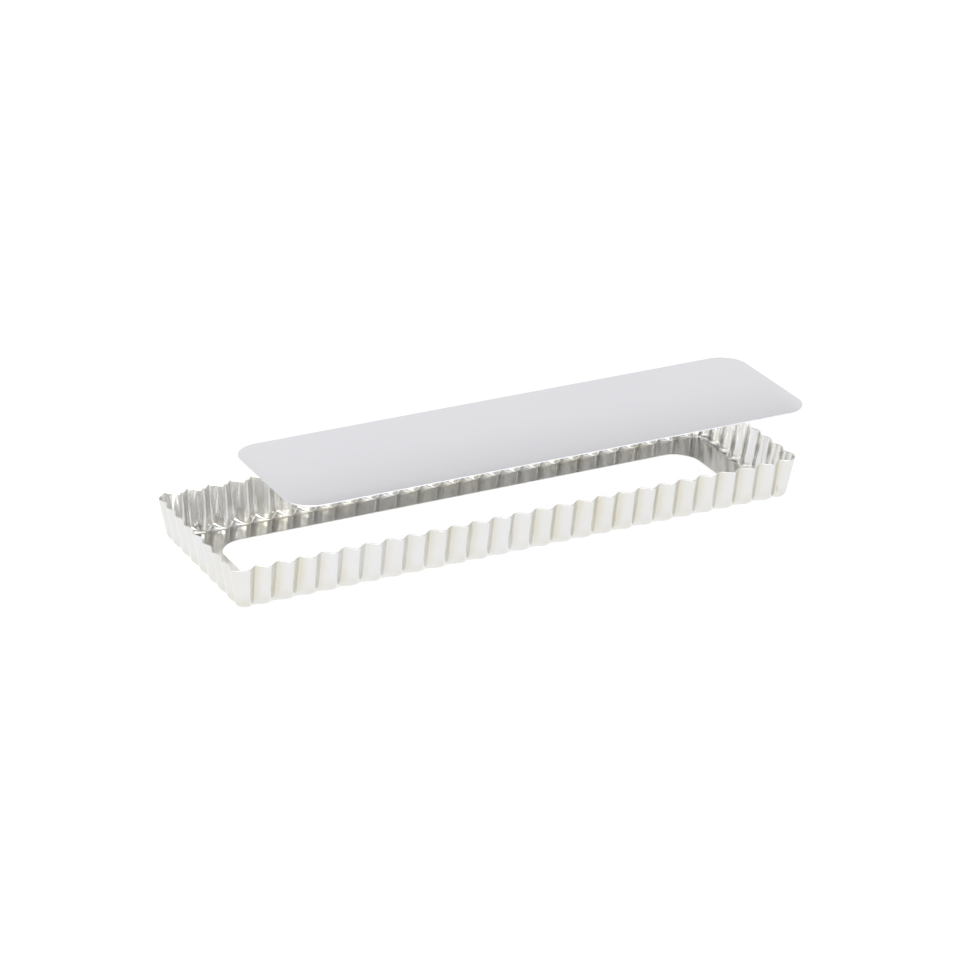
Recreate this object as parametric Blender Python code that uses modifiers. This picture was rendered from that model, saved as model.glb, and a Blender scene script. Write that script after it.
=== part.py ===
"""Rectangular fluted tart pan with a loose base plate.

The pan is two pieces of thin tin-plated steel. The fluted ring is one pressed sheet: a scalloped
wall that flares outward, and a flat ledge that runs round inside its foot. The base plate is a
flat sheet with round corners. It lies loose on the ledge, and it is modelled lifted out of the
ring, in the place that one straight slide carries it to from its seat.

Units are metres, +Z is up and +X runs along the pan. The origin is on the table, at the centre
of the footprint of the ring and the lifted plate together.
"""
import bmesh
import bpy
import math
from mathutils import Vector

# Ring: outer sizes at the rim, over the flutes
PAN_LENGTH = 0.350
PAN_WIDTH = 0.112
PAN_HEIGHT = 0.025
SHEET = 0.0005              # thickness of the ring's sheet
FLARE = 0.0045              # how far each wall leans outward over the height
CORNER_RADIUS = 0.009       # of the rim's outer corners
LONG_FLUTES = 25            # flutes between the end grooves of a long wall
SHORT_FLUTES = 7            # flutes between the end grooves of a short wall
LONG_FLUTE_DEPTH = 0.0040   # from a flute's crest in to its groove
SHORT_FLUTE_DEPTH = 0.0021
TOE_RADIUS = 0.004          # rounding under each flute's foot
FOOT_WAVE = 0.2             # share of a groove's depth that is left where the wall meets the ledge
SHELF_INSET = 0.0099        # from the rim in to the plain part of the ledge
LEDGE_REACH = 0.0205        # from the wall's foot line in to the opening
OPENING_RADIUS = 0.016

# From each wall's sharp corners to its first and last grooves, anticlockwise from above
NEAR_INSETS = (0.0145, 0.0117)
RIGHT_INSETS = (0.0148, 0.0105)
FAR_INSETS = (0.0120, 0.0139)
LEFT_INSETS = (0.0120, 0.0120)

# Base plate
PLATE_LENGTH = 0.320
PLATE_WIDTH = 0.0900
PLATE_SHEET = 0.0008
PLATE_RADIUS = 0.016
SEAT_GAP = 0.0003           # between the ledge and the seated plate
SEAT_SHIFT = Vector((-0.0010, 0.0004, 0.0))   # the loose plate's place within its play
LIFT = Vector((0.0220, -0.0118, 0.0538))      # from the seat to the lifted place

# Mesh resolution
FLUTE_STEPS = (0.0, 0.15, 0.33, 0.5, 0.67, 0.85)
CORNER_STEPS = (0.0, 0.08, 0.2, 0.32, 0.44, 0.56, 0.68, 0.8, 0.92)
TOE_ANGLES = (0.0, 45.0, 90.0)
PLATE_CORNER_STEPS = 8

INSETS = (NEAR_INSETS, RIGHT_INSETS, FAR_INSETS, LEFT_INSETS)
OPENING_INSET = FLARE + LEDGE_REACH
RING_NAME = "fluted_ring"
PLATE_NAME = "base_plate"


def clear_scene():
    """Remove every object that is already in the scene."""
    for existing in list(bpy.data.objects):
        bpy.data.objects.remove(existing, do_unlink=True)


def metal(name, colour, roughness):
    """Return a tin-plate material."""
    material = bpy.data.materials.new(name)
    material.use_nodes = True
    shader = material.node_tree.nodes["Principled BSDF"]
    shader.inputs["Base Color"].default_value = (*colour, 1.0)
    shader.inputs["Metallic"].default_value = 1.0
    shader.inputs["Roughness"].default_value = roughness
    material.diffuse_color = (*colour, 1.0)
    return material


def corner_point(radius, before, after, fraction):
    """Walk round a corner from one distance before its sharp tip to another after it.

    The sharp tip is at the origin, and the walk comes in along +X and leaves along +Y. Returns
    the point and the direction in which it closes in on the corner's inmost point.
    """
    arc = radius * math.pi / 2
    travelled = fraction * (before - radius + arc + after - radius) - (before - radius)
    angle = min(max(travelled / radius, 0.0), math.pi / 2)
    place = radius * Vector((math.sin(angle) - 1, 1 - math.cos(angle)))
    place += Vector((min(travelled, 0.0), max(travelled - arc, 0.0)))
    return place, Vector(((-before - place.x) / before, (after - place.y) / after))


def outline(inset, radius, insets):
    """Return (point, inward direction, groove depth) for each column, anticlockwise from above.

    The outline lies inset from the rim's, and each wall starts at the groove after a corner.
    """
    half_length, half_width = PAN_LENGTH / 2 - inset, PAN_WIDTH / 2 - inset
    walls = (
        (half_length, half_width, LONG_FLUTES, LONG_FLUTE_DEPTH, *insets[0]),
        (half_width, half_length, SHORT_FLUTES, SHORT_FLUTE_DEPTH, *insets[1]),
        (half_length, half_width, LONG_FLUTES, LONG_FLUTE_DEPTH, *insets[2]),
        (half_width, half_length, SHORT_FLUTES, SHORT_FLUTE_DEPTH, *insets[3]),
    )
    columns = []
    for quarter, (along, across, flutes, depth, first, last) in enumerate(walls):
        next_depth, next_first = walls[(quarter + 1) % 4][3:5]
        pitch = (2 * along - first - last) / flutes
        corner_pitches = (last + next_first + (math.pi / 2 - 2) * radius) / pitch
        walk = []
        for flute in range(flutes):
            for step in FLUTE_STEPS:
                place = Vector((first - along + (flute + step) * pitch, -across))
                walk.append((place, Vector((0.0, 1.0)), depth * groove_share(step, 1.0)))
        for step in CORNER_STEPS:
            place, inward = corner_point(radius, last, next_first, step)
            groove = (depth if step < 0.5 else next_depth) * groove_share(step, corner_pitches)
            walk.append((place + Vector((along, -across)), inward, groove))
        turn = quarter * math.pi / 2
        for place, inward, groove in walk:
            columns.append((turned(place, turn), turned(inward, turn), groove))
    return columns


def turned(vector, angle):
    """Return a flat vector turned anticlockwise."""
    cosine, sine = math.cos(angle), math.sin(angle)
    return Vector((cosine * vector.x - sine * vector.y, sine * vector.x + cosine * vector.y))


def groove_share(step, pitches):
    """Return 0 on a flute's crest and 1 in the groove beside it, for a flute some pitches wide."""
    from_groove = min(step, 1 - step) * pitches
    return 0.5 + 0.5 * math.cos(2 * math.pi * min(from_groove, 0.5))


def wall_point(column, height, toe):
    """Return a column's point on the wall at one height, where toe is the foot's rounding there."""
    place, inward, groove = column
    inset = FLARE * (1 - height / PAN_HEIGHT) + toe + groove
    return (place + inset * inward).to_3d() + Vector((0.0, 0.0, height))


def toe_point(column, angle):
    """Return a column's point on the rounding between the ledge, angle 0, and the wall."""
    radius = TOE_RADIUS - (1 - FOOT_WAVE) * column[2]
    return wall_point(column, radius * (1 - math.cos(angle)), radius * (1 - math.sin(angle)))


def ring_rows():
    """Return the ring's outer surface as rows, from the opening's edge out and up to the rim."""
    opening = outline(OPENING_INSET, OPENING_RADIUS, ((OPENING_RADIUS, OPENING_RADIUS),) * 4)
    shelf_insets = [(first - SHELF_INSET, last - SHELF_INSET) for first, last in INSETS]
    shelf = outline(SHELF_INSET, min(map(min, shelf_insets)), shelf_insets)
    wall = outline(0.0, CORNER_RADIUS, INSETS)
    rows = [[place.to_3d() for place, inward, groove in flat] for flat in (opening, shelf)]
    for degrees in TOE_ANGLES:
        rows.append([toe_point(column, math.radians(degrees)) for column in wall])
    rows.append([wall_point(column, PAN_HEIGHT, 0.0) for column in wall])
    return rows


def lofted_mesh(name, rows):
    """Join closed rows of equal length with quads, facing out and down."""
    mesh = bpy.data.meshes.new(name)
    loft = bmesh.new()
    rings = [[loft.verts.new(point) for point in row] for row in rows]
    for inner, outer in zip(rings, rings[1:]):
        for index, vertex in enumerate(inner):
            after = (index + 1) % len(inner)
            loft.faces.new((vertex, outer[index], outer[after], inner[after]))
    bmesh.ops.recalc_face_normals(loft, faces=loft.faces)
    if sum(face.normal.z * face.calc_area() for face in loft.faces) > 0:
        bmesh.ops.reverse_faces(loft, faces=loft.faces)
    loft.to_mesh(mesh)
    loft.free()
    return mesh


def fluted_ring(collection, material, parent):
    """One pressed sheet: the fluted wall and the flat ledge inside its foot."""
    mesh = lofted_mesh(RING_NAME, ring_rows())
    mesh.materials.append(material)
    mesh.shade_smooth()
    mesh.set_sharp_from_angle(angle=math.radians(50))
    ring = bpy.data.objects.new(RING_NAME, mesh)
    shell = ring.modifiers.new("sheet", "SOLIDIFY")
    shell.thickness = SHEET
    shell.offset = -1.0
    shell.use_even_offset = True
    shell.use_quality_normals = True
    ring.parent = parent
    collection.objects.link(ring)
    return ring


def plate_outline():
    """Return the base plate's outline, anticlockwise from above."""
    points = []
    for quarter in range(4):
        angle = quarter * math.pi / 2
        side = turned(Vector((1.0, 1.0)), angle)
        centre = Vector((math.copysign(PLATE_LENGTH / 2 - PLATE_RADIUS, side.x),
                         math.copysign(PLATE_WIDTH / 2 - PLATE_RADIUS, side.y)))
        for step in range(PLATE_CORNER_STEPS + 1):
            bearing = angle + step / PLATE_CORNER_STEPS * math.pi / 2
            points.append(centre + PLATE_RADIUS * Vector((math.cos(bearing), math.sin(bearing))))
    return points


def base_plate(collection, material, parent, place):
    """The loose flat base, its own origin at its centre, which is on the slide's line."""
    curve = bpy.data.curves.new(PLATE_NAME, "CURVE")
    curve.dimensions = "2D"
    curve.fill_mode = "BOTH"
    curve.extrude = PLATE_SHEET / 2
    points = plate_outline()
    spline = curve.splines.new("POLY")
    spline.points.add(len(points) - 1)
    for target, point in zip(spline.points, points):
        target.co = (point.x, point.y, 0.0, 1.0)
    spline.use_cyclic_u = True
    curve.materials.append(material)
    plate = bpy.data.objects.new(PLATE_NAME, curve)
    plate.parent = parent
    plate.location = place
    collection.objects.link(plate)
    return plate


def seated_place():
    """Return the plate's centre, from the ring's centre, when it lies on the ledge."""
    return SEAT_SHIFT + Vector((0.0, 0.0, SHEET + SEAT_GAP + PLATE_SHEET / 2))


def ring_centre(lifted):
    """Return where the ring stands, so that the whole footprint is centred on the origin."""
    overhang_right = lifted.x + PLATE_LENGTH / 2 - PAN_LENGTH / 2
    overhang_front = -lifted.y + PLATE_WIDTH / 2 - PAN_WIDTH / 2
    return Vector((-overhang_right / 2, overhang_front / 2, 0.0))


def build():
    """Make the pan."""
    clear_scene()
    collection = bpy.data.collections.new("tart_pan")
    bpy.context.scene.collection.children.link(collection)
    lifted = seated_place() + LIFT
    centre = bpy.data.objects.new("pan_centre", None)
    centre.location = ring_centre(lifted)
    collection.objects.link(centre)
    fluted_ring(collection, metal("ring_tinplate", (0.60, 0.60, 0.58), 0.25), centre)
    base_plate(collection, metal("plate_tinplate", (0.72, 0.72, 0.75), 0.4), centre, lifted)


build()
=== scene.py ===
"""Looks of the fluted tart pan: a fine pressed ring, a fine base plate and their tin finishes.

Everything is in metres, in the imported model's frame. The ring and the plate replace their plain
CAD solids with finer meshes of the same sizes.
"""
import math

import bpy
import numpy as np
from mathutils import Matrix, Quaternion, Vector


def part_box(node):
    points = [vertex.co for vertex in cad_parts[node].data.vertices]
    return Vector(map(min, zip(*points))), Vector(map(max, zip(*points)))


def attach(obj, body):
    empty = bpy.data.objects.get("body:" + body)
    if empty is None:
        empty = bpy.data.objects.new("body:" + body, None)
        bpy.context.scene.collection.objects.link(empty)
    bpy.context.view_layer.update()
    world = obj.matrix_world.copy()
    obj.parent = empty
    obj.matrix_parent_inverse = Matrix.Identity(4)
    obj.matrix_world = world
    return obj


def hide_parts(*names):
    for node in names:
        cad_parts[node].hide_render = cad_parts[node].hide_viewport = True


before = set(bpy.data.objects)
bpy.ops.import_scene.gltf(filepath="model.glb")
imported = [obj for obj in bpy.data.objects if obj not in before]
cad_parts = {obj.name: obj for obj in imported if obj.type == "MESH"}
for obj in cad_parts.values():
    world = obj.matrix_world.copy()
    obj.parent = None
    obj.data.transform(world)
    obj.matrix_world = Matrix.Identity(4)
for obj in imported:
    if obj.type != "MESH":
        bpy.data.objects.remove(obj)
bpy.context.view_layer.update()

RING_LOW, RING_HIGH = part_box("fluted_ring")
PLATE_LOW, PLATE_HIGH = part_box("base_plate")
RING_CENTRE = (RING_LOW + RING_HIGH) / 2

# Ring, as the CAD has it
HALF_LENGTH = (RING_HIGH.x - RING_LOW.x) / 2
HALF_WIDTH = (RING_HIGH.y - RING_LOW.y) / 2
HEIGHT = 0.025
SHEET = 0.0005
FLARE = 0.0045
CORNER_RADIUS = 0.009
# Distances from the rim's corners to the nearest groove of each wall, anticlockwise
NEAR_INSETS = (0.0145, 0.0117)
RIGHT_INSETS = (0.0148, 0.0105)
FAR_INSETS = (0.0120, 0.0139)
LEFT_INSETS = (0.0120, 0.0120)
LONG_FLUTES = 25
SHORT_FLUTES = 7
LONG_FLUTE_DEPTH = 0.0040
SHORT_FLUTE_DEPTH = 0.0021
TOE_RADIUS = 0.004
FOOT_WAVE = 0.2             # share of a groove's depth that is left where the wall meets the ledge
LEDGE_REACH = 0.0205
SHELF_INSET = 0.0099        # from the rim in to the first plain row of the ledge
OPENING_RADIUS = 0.016
PLATE_RADIUS = 0.016

# Fineness of the meshes
FLUTE_COLUMNS = 22
CORNER_COLUMNS = 40
LEDGE_ROWS = 5
TOE_ROWS = 9
WALL_ROWS = 8
EDGE_ROWS = 4
EDGE_HOLD = 0.015           # share of the way in from a cut edge to the row that keeps the face flat
PLATE_CORNER_COLUMNS = 33
PLATE_EDGE_ROWS = 5
PLATE_EDGE_RADIUS = 0.00025
EDGE_BULGE = 0.35           # how round the ring's cut edges are, where 1 is a half circle
SHARP_ANGLE = math.radians(40)

# Painted shade on the ring, darkening its grooves, hollows, toe and ledge: how strong it is in each place,
# from 0 to 1
PAINTED_SHADE = "painted_shade_amount"         # the name of the mesh attribute
LEDGE_PAINTED_SHADE = 0.75
TOE_PAINTED_SHADE = 0.6
HOLLOW_PAINTED_SHADE = 0.2        # in the inside's hollows, the backs of the outside's crests
PAINTED_SHADE_POWER = 3           # how closely it keeps to the bottoms of grooves and hollows

# Colours of the tin
RING_COOL = (0.765, 0.765, 0.77)
RING_WARM = (0.75, 0.745, 0.72)
RING_SCUFFED = (0.78, 0.78, 0.78)
# painted shade: the olive grey that the ring darkens towards in its grooves, hollows, toe and ledge
PAINTED_SHADE_COLOUR = (0.67, 0.645, 0.545)
PLATE_DARKER = (0.755, 0.755, 0.785)
PLATE_LIGHTER = (0.78, 0.78, 0.805)
PLATE_ROLLED = (0.82, 0.82, 0.84)

# Studio
FLOOR_REACH = 8.0
FLOOR_GAP = 0.0002
FLOOR_GREY = (0.16, 0.16, 0.16, 1.0)
FLOOR_ROUGHNESS = 0.9
FLOOR_GLOW = 0.87
SOFTBOX_PLACE = (-0.6, 0.4, 1.8)
SOFTBOX_SIZE = (1.2, 1.2)
SOFTBOX_WATTS = 12.0
FULL = 5.0                  # the light level that white stands for in the surround's ramps
FRONT = (-0.37, -0.93, 0.0)     # the direction of the surround's bright side
FRONT_EDGE = (0.55, 0.8)    # how nearly a direction faces FRONT where the front begins, and is full
# Light levels by the Z of the direction: 0 is the horizon and 1 is overhead
BEHIND_LEVELS = (
    (0.0, 1.0), (0.1, 1.0), (0.16, 0.95), (0.34, 1.05), (0.60, 1.0), (0.70, 0.1), (0.86, 0.1), (0.94, 1.1),
)
FRONT_LEVELS = (
    (0.0, 4.7), (0.26, 4.7), (0.34, 4.6), (0.60, 3.5), (0.70, 0.2), (0.86, 0.2), (0.94, 1.1),
)

# Camera
CAMERA_AIM = Vector((0.0001, 0.0083, 0.0192))
CAMERA_AZIMUTH = math.radians(-27.04)
CAMERA_ELEVATION = math.radians(24.14)
CAMERA_ROLL = math.radians(0.63)
CAMERA_DISTANCE = 2.070
CAMERA_LENS = 137.86
CAMERA_SENSOR = 36.0


def turned(points, angle):
    """Return flat points turned anticlockwise."""
    cosine, sine = math.cos(angle), math.sin(angle)
    return points @ np.array(((cosine, sine), (-sine, cosine)))


def corner_walk(radius, before, after, fractions):
    """Walk round a corner whose sharp tip is the origin, in along +X and out along +Y.

    The walk starts and ends at the given distances from the tip. Returns the places, the
    directions in which they close in on the corner's inmost point, and the walk's length.
    """
    arc = radius * math.pi / 2
    length = before - radius + arc + after - radius
    travelled = fractions * length
    angle = np.clip((travelled - before + radius) / radius, 0, math.pi / 2)
    places = radius * np.column_stack((np.sin(angle) - 1, 1 - np.cos(angle)))
    places[:, 0] += np.minimum(travelled - before + radius, 0)
    places[:, 1] += np.maximum(travelled - before + radius - arc, 0)
    shrinking = (np.array((-before, after)) - places) / (before, after)
    return places, shrinking, length


def outline(half_length, half_width, radius, insets):
    """Return the places, inward directions and groove depths of every column, anticlockwise.

    Insets hold two distances for each wall, from the sharp corners to its first and last grooves.
    """
    near, right, far, left = insets
    sides = (
        (half_length, half_width, LONG_FLUTES, LONG_FLUTE_DEPTH, *near),
        (half_width, half_length, SHORT_FLUTES, SHORT_FLUTE_DEPTH, *right),
        (half_length, half_width, LONG_FLUTES, LONG_FLUTE_DEPTH, *far),
        (half_width, half_length, SHORT_FLUTES, SHORT_FLUTE_DEPTH, *left),
    )
    steps = np.arange(FLUTE_COLUMNS) / FLUTE_COLUMNS
    corner_steps = np.arange(CORNER_COLUMNS) / CORNER_COLUMNS
    parts = []
    for quarter, (along, across, flutes, depth, before, after) in enumerate(sides):
        following = sides[(quarter + 1) % 4]
        pitch = (2 * along - before - after) / flutes
        walk = before - along + pitch * np.arange(0, flutes, 1 / FLUTE_COLUMNS)
        side = np.column_stack((walk, np.full(len(walk), -across)))
        inward = np.tile((0.0, 1.0), (len(walk), 1))
        corner, shrinking, length = corner_walk(radius, after, following[4], corner_steps)
        grooves = np.where(corner_steps < 0.5, depth, following[3])
        grooves = grooves * groove_share(corner_steps, length / pitch)
        turn = quarter * math.pi / 2
        parts.append((
            turned(np.vstack((side, corner + (along, -across))), turn),
            turned(np.vstack((inward, shrinking)), turn),
            np.concatenate((np.tile(depth * groove_share(steps, 1.0), flutes), grooves)),
        ))
    return [np.concatenate(part) for part in zip(*parts)]


def groove_share(step, pitches):
    """Return 0 on a flute's crest and 1 in the groove beside it, for a flute some pitches wide."""
    from_groove = np.minimum(step, 1 - step) * pitches
    return 0.5 + 0.5 * np.cos(2 * math.pi * np.minimum(from_groove, 0.5))


def at_height(flat, height):
    """Return flat points lifted to a height, which may differ from point to point."""
    return np.column_stack((flat, np.broadcast_to(height, len(flat))))


def ring_outside():
    """Return the rows of the ring's outer surface from the opening to the rim, and its grooves.

    The grooves run from 0 on a crest to 1 in the deepest groove, one number for each column.
    """
    insets = np.array((NEAR_INSETS, RIGHT_INSETS, FAR_INSETS, LEFT_INSETS))
    places, inward, grooves = outline(HALF_LENGTH, HALF_WIDTH, CORNER_RADIUS, insets)
    opening = outline(HALF_LENGTH - FLARE - LEDGE_REACH, HALF_WIDTH - FLARE - LEDGE_REACH,
                      OPENING_RADIUS, np.full((4, 2), OPENING_RADIUS))[0]
    shelf_insets = insets - SHELF_INSET
    shelf_radius = min(CORNER_RADIUS, shelf_insets.min())
    shelf = outline(HALF_LENGTH - SHELF_INSET, HALF_WIDTH - SHELF_INSET, shelf_radius, shelf_insets)[0]
    toe_radius = TOE_RADIUS - (1 - FOOT_WAVE) * grooves

    def wall(height, toe):
        inset = FLARE * (1 - height / HEIGHT) + toe + grooves
        return at_height(places + inset[:, None] * inward, height)

    rows = []
    for blend in (0.0, EDGE_HOLD, *np.linspace(0, 1, LEDGE_ROWS)[1:]):
        rows.append(at_height(opening * (1 - blend) + shelf * blend, 0.0))
    for angle in np.linspace(0, math.pi / 2, TOE_ROWS):
        rows.append(wall(toe_radius * (1 - math.cos(angle)), toe_radius * (1 - math.sin(angle))))
    for blend in (*np.linspace(0, 1, WALL_ROWS + 1)[1:-1], 1 - EDGE_HOLD, 1.0):
        rows.append(wall(toe_radius + (HEIGHT - toe_radius) * blend, np.zeros(len(grooves))))
    return np.array(rows), grooves / LONG_FLUTE_DEPTH


def unit(vectors):
    """Return vectors at length 1."""
    return vectors / np.linalg.norm(vectors, axis=-1, keepdims=True)


def surface_normals(rows):
    """Return the outward unit normals of a grid of rows that close on themselves."""
    ahead = unit(np.roll(rows, -1, axis=1) - rows)
    across = ahead + np.roll(ahead, 1, axis=1)
    climb = unit(np.diff(rows, axis=0))
    along = np.concatenate((climb[:1], climb[:-1] + climb[1:], climb[-1:]))
    return unit(np.cross(across, along))


def rounded_edge(edge, before, normals):
    """Return rows that carry the sheet's outer face round its cut edge to the inner face."""
    outward = edge - before
    outward = unit(outward - np.sum(outward * normals, axis=1, keepdims=True) * normals)
    middle = edge - normals * SHEET / 2
    rows = []
    for angle in np.linspace(0, math.pi, EDGE_ROWS + 2)[1:-1]:
        bulge = EDGE_BULGE * math.sin(angle) * outward + math.cos(angle) * normals
        rows.append(middle + bulge * SHEET / 2)
    return rows


def ring_shell():
    """Return the closed loop of rows round the sheet, and how much painted shade each point gets.

    The rows are the outside, rim, inside and opening edge. Painted shade darkens the outside's
    grooves, the hollows of the inside, round the toe and the top of the ledge.
    """
    outside, grooves = ring_outside()
    normals = surface_normals(outside)
    inside = outside - SHEET * normals
    rim = rounded_edge(outside[-1], outside[-2], normals[-1])
    opening = rounded_edge(outside[0], outside[1], normals[0])
    # painted shade: darker in the outside's grooves, the inside's hollows, round the toe and over the
    # ledge
    wall = np.clip(outside[:, :, 2] / TOE_RADIUS, 0, 1)
    toe = TOE_PAINTED_SHADE * wall * np.clip(2 - outside[:, :, 2] / TOE_RADIUS, 0, 1)
    outer_painted_shade = np.maximum(toe, wall * grooves ** PAINTED_SHADE_POWER)
    inner_painted_shade = np.maximum(toe, HOLLOW_PAINTED_SHADE * wall * (1 - grooves) ** PAINTED_SHADE_POWER)
    inner_painted_shade = np.maximum(inner_painted_shade, LEDGE_PAINTED_SHADE * (1 - wall))
    edge_painted_shade = np.zeros((EDGE_ROWS, len(grooves)))
    rows = np.array([*outside, *rim, *inside[::-1], *opening[::-1]])
    return rows, np.vstack((outer_painted_shade, edge_painted_shade, inner_painted_shade[::-1], edge_painted_shade))


def grid_mesh(name, rows):
    """Make a closed mesh from rows that close on themselves and join end to end."""
    count, width = rows.shape[:2]
    index = np.arange(count * width).reshape(count, width)
    right = np.roll(index, -1, axis=1)
    after = np.roll(index, -1, axis=0)
    corner = np.roll(after, -1, axis=1)
    faces = np.stack((index, right, corner, after), axis=-1).reshape(-1, 4)
    mesh = bpy.data.meshes.new(name)
    mesh.from_pydata(rows.reshape(-1, 3).tolist(), [], faces.tolist())
    mesh.shade_smooth()
    mesh.update()
    return mesh


def add_object(name, mesh, material):
    """Put a mesh with its material into the scene."""
    mesh.materials.append(material)
    piece = bpy.data.objects.new(name, mesh)
    bpy.context.scene.collection.objects.link(piece)
    return piece


def fluted_ring():
    """The pressed ring, with its rolled-smooth flutes and its thin cut edges."""
    shell, painted_shade_amount = ring_shell()
    shell[:, :, 0] += RING_CENTRE.x
    shell[:, :, 1] += RING_CENTRE.y
    mesh = grid_mesh("pressed_ring", shell)
    # the painted shade goes on the mesh as a point attribute
    mesh.attributes.new(PAINTED_SHADE, "FLOAT", "POINT").data.foreach_set("value", painted_shade_amount.ravel())
    ring = add_object("pressed_ring", mesh, ring_tinplate())
    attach(ring, "ring")
    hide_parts("fluted_ring")


def plate_path(inset):
    """Return the plate's outline drawn in by an inset, anticlockwise."""
    half = (PLATE_HIGH - PLATE_LOW) / 2
    points = []
    for quarter in range(4):
        bearings = (quarter + np.linspace(0, 1, PLATE_CORNER_COLUMNS)) * math.pi / 2
        facing = np.column_stack((np.cos(bearings), np.sin(bearings)))
        side = turned(np.array(((1.0, 1.0),)), quarter * math.pi / 2)[0]
        centre = side * (half.x - PLATE_RADIUS, half.y - PLATE_RADIUS)
        points.append(centre + (PLATE_RADIUS - inset) * facing)
    return np.vstack(points)


def plate_profile():
    """Return (inset, height) from the underside round the plate's edge to its top."""
    half_sheet = (PLATE_HIGH.z - PLATE_LOW.z) / 2
    upper = []
    for angle in np.linspace(0, math.pi / 2, PLATE_EDGE_ROWS):
        inset = PLATE_EDGE_RADIUS * (1 - math.cos(angle))
        upper.append((inset, half_sheet - PLATE_EDGE_RADIUS * (1 - math.sin(angle))))
    return [(inset, -height) for inset, height in reversed(upper)] + upper


def base_plate():
    """The loose sheet, flat, with its cut edges just rounded over."""
    middle = (PLATE_LOW + PLATE_HIGH) / 2
    loops = np.array([at_height(plate_path(inset) + (middle.x, middle.y), middle.z + height)
                      for inset, height in plate_profile()])
    count, width = loops.shape[:2]
    index = np.arange(count * width).reshape(count, width)
    right = np.roll(index, -1, axis=1)
    faces = np.stack((index[:-1], right[:-1], right[1:], index[1:]), axis=-1).reshape(-1, 4).tolist()
    faces.append(index[0, ::-1].tolist())
    faces.append(index[-1].tolist())
    mesh = bpy.data.meshes.new("flat_base_plate")
    mesh.from_pydata(loops.reshape(-1, 3).tolist(), [], faces)
    mesh.shade_smooth()
    mesh.set_sharp_from_angle(angle=SHARP_ANGLE)
    plate = add_object("flat_base_plate", mesh, plate_tinplate())
    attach(plate, "plate")
    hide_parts("base_plate")


def node_material(name):
    """Return a new material, its node tree and its Principled shader."""
    material = bpy.data.materials.new(name)
    material.use_nodes = True
    tree = material.node_tree
    return material, tree, tree.nodes["Principled BSDF"]


def stretched_coordinates(tree, stretch):
    """Return a socket with the object's coordinates, multiplied axis by axis."""
    coordinates = tree.nodes.new("ShaderNodeTexCoord")
    mapping = tree.nodes.new("ShaderNodeMapping")
    mapping.inputs["Scale"].default_value = stretch
    tree.links.new(coordinates.outputs["Object"], mapping.inputs["Vector"])
    return mapping.outputs["Vector"]


def noise(tree, vector, scale, detail=4.0, roughness=0.5):
    """Return the value socket of a noise texture."""
    texture = tree.nodes.new("ShaderNodeTexNoise")
    texture.inputs["Scale"].default_value = scale
    texture.inputs["Detail"].default_value = detail
    texture.inputs["Roughness"].default_value = roughness
    tree.links.new(vector, texture.inputs["Vector"])
    return texture.outputs["Fac"]


def ranged(tree, value, low, high, start=0.0, end=1.0):
    """Return a value socket mapped from start..end to low..high, and held within them."""
    mapped = tree.nodes.new("ShaderNodeMapRange")
    mapped.inputs["From Min"].default_value = start
    mapped.inputs["From Max"].default_value = end
    mapped.inputs["To Min"].default_value = low
    mapped.inputs["To Max"].default_value = high
    tree.links.new(value, mapped.inputs["Value"])
    return mapped.outputs["Result"]


def combined(tree, operation, first, second):
    """Return the socket of a maths node on two sockets."""
    maths = tree.nodes.new("ShaderNodeMath")
    maths.operation = operation
    tree.links.new(first, maths.inputs[0])
    tree.links.new(second, maths.inputs[1])
    return maths.outputs["Value"]


def blended(tree, factor, first, second):
    """Return a colour socket that goes from one colour to another."""
    mix = tree.nodes.new("ShaderNodeMix")
    mix.data_type = "RGBA"
    tree.links.new(factor, mix.inputs[0])
    for socket, colour in ((mix.inputs[6], first), (mix.inputs[7], second)):
        if isinstance(colour, tuple):
            socket.default_value = (*colour, 1.0)
        else:
            tree.links.new(colour, socket)
    return mix.outputs[2]


def bumped(tree, shader, layers):
    """Lay bump layers, each (height socket, depth in metres), under a shader's normal."""
    normal = None
    for height, depth in layers:
        bump = tree.nodes.new("ShaderNodeBump")
        bump.inputs["Distance"].default_value = depth
        tree.links.new(height, bump.inputs["Height"])
        if normal is not None:
            tree.links.new(normal, bump.inputs["Normal"])
        normal = bump.outputs["Normal"]
    tree.links.new(normal, shader.inputs["Normal"])


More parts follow.
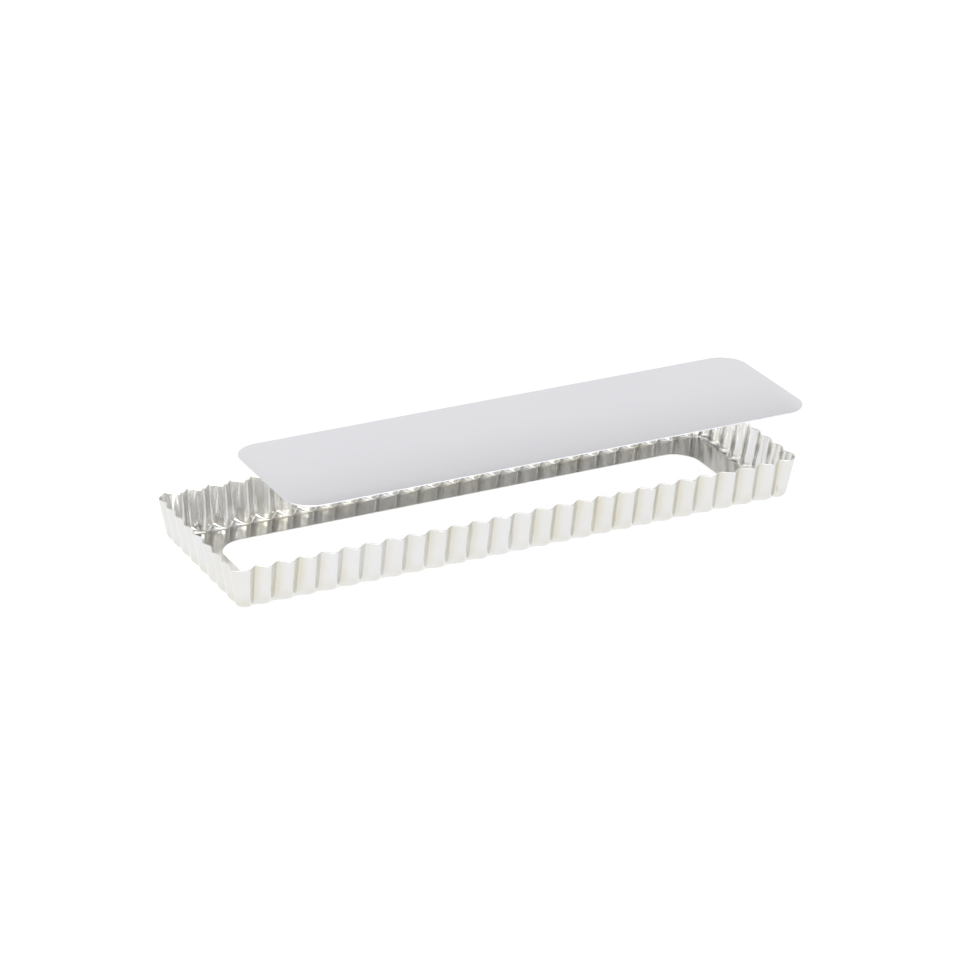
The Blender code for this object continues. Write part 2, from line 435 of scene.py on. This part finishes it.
def ring_tinplate():
    """Bright pressed tin plate, drawn up the flutes, with a patchy warm cast, scuffs and painted shade in
    its grooves, hollows, toe and ledge.
    """
    material, tree, shader = node_material("ring_tinplate")
    plain = stretched_coordinates(tree, (1.0, 1.0, 1.0))
    drawn = noise(tree, stretched_coordinates(tree, (1.0, 1.0, 0.08)), 900.0)
    ripples = noise(tree, stretched_coordinates(tree, (1.0, 1.0, 0.06)), 300.0, detail=2.0)
    height = tree.nodes.new("ShaderNodeSeparateXYZ")
    tree.links.new(plain, height.inputs["Vector"])
    above_ledge = ranged(tree, height.outputs["Z"], 0.0, 1.0, SHEET, TOE_RADIUS)
    ripples = combined(tree, "MULTIPLY", ripples, above_ledge)
    cloud = noise(tree, plain, 28.0, detail=3.0)
    across = stretched_coordinates(tree, (1.0, 0.25, 1.0))
    scuffs = noise(tree, across, 420.0, detail=6.0, roughness=0.65)
    colour = blended(tree, ranged(tree, cloud, 0.0, 1.0, 0.35, 0.70), RING_COOL, RING_WARM)
    colour = blended(tree, ranged(tree, scuffs, 0.0, 0.35, 0.60, 0.75), colour, RING_SCUFFED)
    # painted shade: the attribute, broken into patches, darkens the colour towards an olive grey
    painted_shade_amount = tree.nodes.new("ShaderNodeAttribute")
    painted_shade_amount.attribute_name = PAINTED_SHADE
    patches = ranged(tree, cloud, 0.3, 0.9, 0.3, 0.7)
    painted_shade_share = combined(tree, "MULTIPLY", painted_shade_amount.outputs["Fac"], patches)
    colour = blended(tree, painted_shade_share, colour, PAINTED_SHADE_COLOUR)
    tree.links.new(colour, shader.inputs["Base Color"])
    shader.inputs["Metallic"].default_value = 1.0
    rough = combined(tree, "ADD", ranged(tree, cloud, 0.09, 0.18), ranged(tree, drawn, 0.0, 0.06))
    rough = combined(tree, "ADD", rough, ranged(tree, painted_shade_share, 0.0, 0.03))
    tree.links.new(rough, shader.inputs["Roughness"])
    bumped(tree, shader, ((ripples, 0.0004), (drawn, 0.00002), (scuffs, 0.00001)))
    return material


def plate_tinplate():
    """Even satin tin plate with rolling lines along the sheet."""
    material, tree, shader = node_material("plate_tinplate")
    plain = stretched_coordinates(tree, (1.0, 1.0, 1.0))
    lengthwise = stretched_coordinates(tree, (0.04, 1.0, 1.0))
    rolled = noise(tree, lengthwise, 1600.0, detail=5.0, roughness=0.6)
    cloud = noise(tree, plain, 14.0, detail=3.0)
    colour = blended(tree, ranged(tree, cloud, 0.0, 1.0, 0.3, 0.7), PLATE_DARKER, PLATE_LIGHTER)
    colour = blended(tree, ranged(tree, rolled, 0.0, 0.25, 0.35, 0.75), colour, PLATE_ROLLED)
    tree.links.new(colour, shader.inputs["Base Color"])
    shader.inputs["Metallic"].default_value = 1.0
    rough = combined(tree, "ADD", ranged(tree, cloud, 0.30, 0.36), ranged(tree, rolled, 0.0, 0.06))
    tree.links.new(rough, shader.inputs["Roughness"])
    bumped(tree, shader, ((rolled, 0.000006),))
    return material


def floor():
    """A plain pale floor, just clear of the ring's underside."""
    material, tree, shader = node_material("pale_floor")
    shader.inputs["Base Color"].default_value = FLOOR_GREY
    shader.inputs["Roughness"].default_value = FLOOR_ROUGHNESS
    shader.inputs["Emission Color"].default_value = (1.0, 1.0, 1.0, 1.0)
    shader.inputs["Emission Strength"].default_value = FLOOR_GLOW
    mesh = bpy.data.meshes.new("floor")
    signs = ((-1, -1), (1, -1), (1, 1), (-1, 1))
    corners = [(x * FLOOR_REACH, y * FLOOR_REACH, -FLOOR_GAP) for x, y in signs]
    mesh.from_pydata(corners, [], [(0, 1, 2, 3)])
    add_object("floor", mesh, material)


def softbox(name, place, size, power):
    """An area light that faces the pan."""
    light = bpy.data.lights.new(name, "AREA")
    light.shape = "RECTANGLE"
    light.size, light.size_y = size
    light.energy = power
    lamp = bpy.data.objects.new(name, light)
    lamp.location = place
    lamp.rotation_mode = "QUATERNION"
    lamp.rotation_quaternion = (-Vector(place)).to_track_quat("-Z", "Y")
    bpy.context.scene.collection.objects.link(lamp)


def ramped(tree, value, stops):
    """Return a socket that follows grey stops, each (value from 0 to 1, light level up to FULL)."""
    ramp = tree.nodes.new("ShaderNodeValToRGB")
    while len(ramp.color_ramp.elements) < len(stops):
        ramp.color_ramp.elements.new(1.0)
    for element, (position, level) in zip(ramp.color_ramp.elements, stops):
        element.position = position
        element.color = (level / FULL, level / FULL, level / FULL, 1.0)
    tree.links.new(value, ramp.inputs["Fac"])
    return ramp.outputs["Color"]


def surround(tree):
    """Light from all round: brightest low in front, dim at middle height, bright overhead."""
    background = tree.nodes["Background"]
    coordinates = tree.nodes.new("ShaderNodeTexCoord")
    direction = tree.nodes.new("ShaderNodeSeparateXYZ")
    tree.links.new(coordinates.outputs["Generated"], direction.inputs["Vector"])
    facing = tree.nodes.new("ShaderNodeVectorMath")
    facing.operation = "DOT_PRODUCT"
    facing.inputs[1].default_value = FRONT
    tree.links.new(coordinates.outputs["Generated"], facing.inputs[0])
    share = ranged(tree, facing.outputs["Value"], 0.0, 1.0, *FRONT_EDGE)
    behind = ramped(tree, direction.outputs["Z"], BEHIND_LEVELS)
    before = ramped(tree, direction.outputs["Z"], FRONT_LEVELS)
    tree.links.new(blended(tree, share, behind, before), background.inputs["Color"])
    background.inputs["Strength"].default_value = FULL


def studio():
    """Soft studio light: the surround, and a softbox above."""
    world = bpy.data.worlds.new("studio")
    world.use_nodes = True
    surround(world.node_tree)
    bpy.context.scene.world = world
    softbox("key", SOFTBOX_PLACE, SOFTBOX_SIZE, SOFTBOX_WATTS)
    bpy.context.scene.view_settings.view_transform = "Standard"


def camera():
    """The camera, at the view that shows the long side and the left end from above."""
    back = Vector((math.sin(CAMERA_AZIMUTH) * math.cos(CAMERA_ELEVATION),
                   -math.cos(CAMERA_AZIMUTH) * math.cos(CAMERA_ELEVATION),
                   math.sin(CAMERA_ELEVATION)))
    data = bpy.data.cameras.new("camera")
    data.lens = CAMERA_LENS
    data.sensor_width = CAMERA_SENSOR
    viewer = bpy.data.objects.new("camera", data)
    viewer.location = CAMERA_AIM + back * CAMERA_DISTANCE
    viewer.rotation_mode = "QUATERNION"
    viewer.rotation_quaternion = (-back).to_track_quat("-Z", "Y") @ Quaternion((0, 0, 1), CAMERA_ROLL)
    bpy.context.scene.collection.objects.link(viewer)
    bpy.context.scene.camera = viewer


camera()
fluted_ring()
base_plate()
floor()
studio()
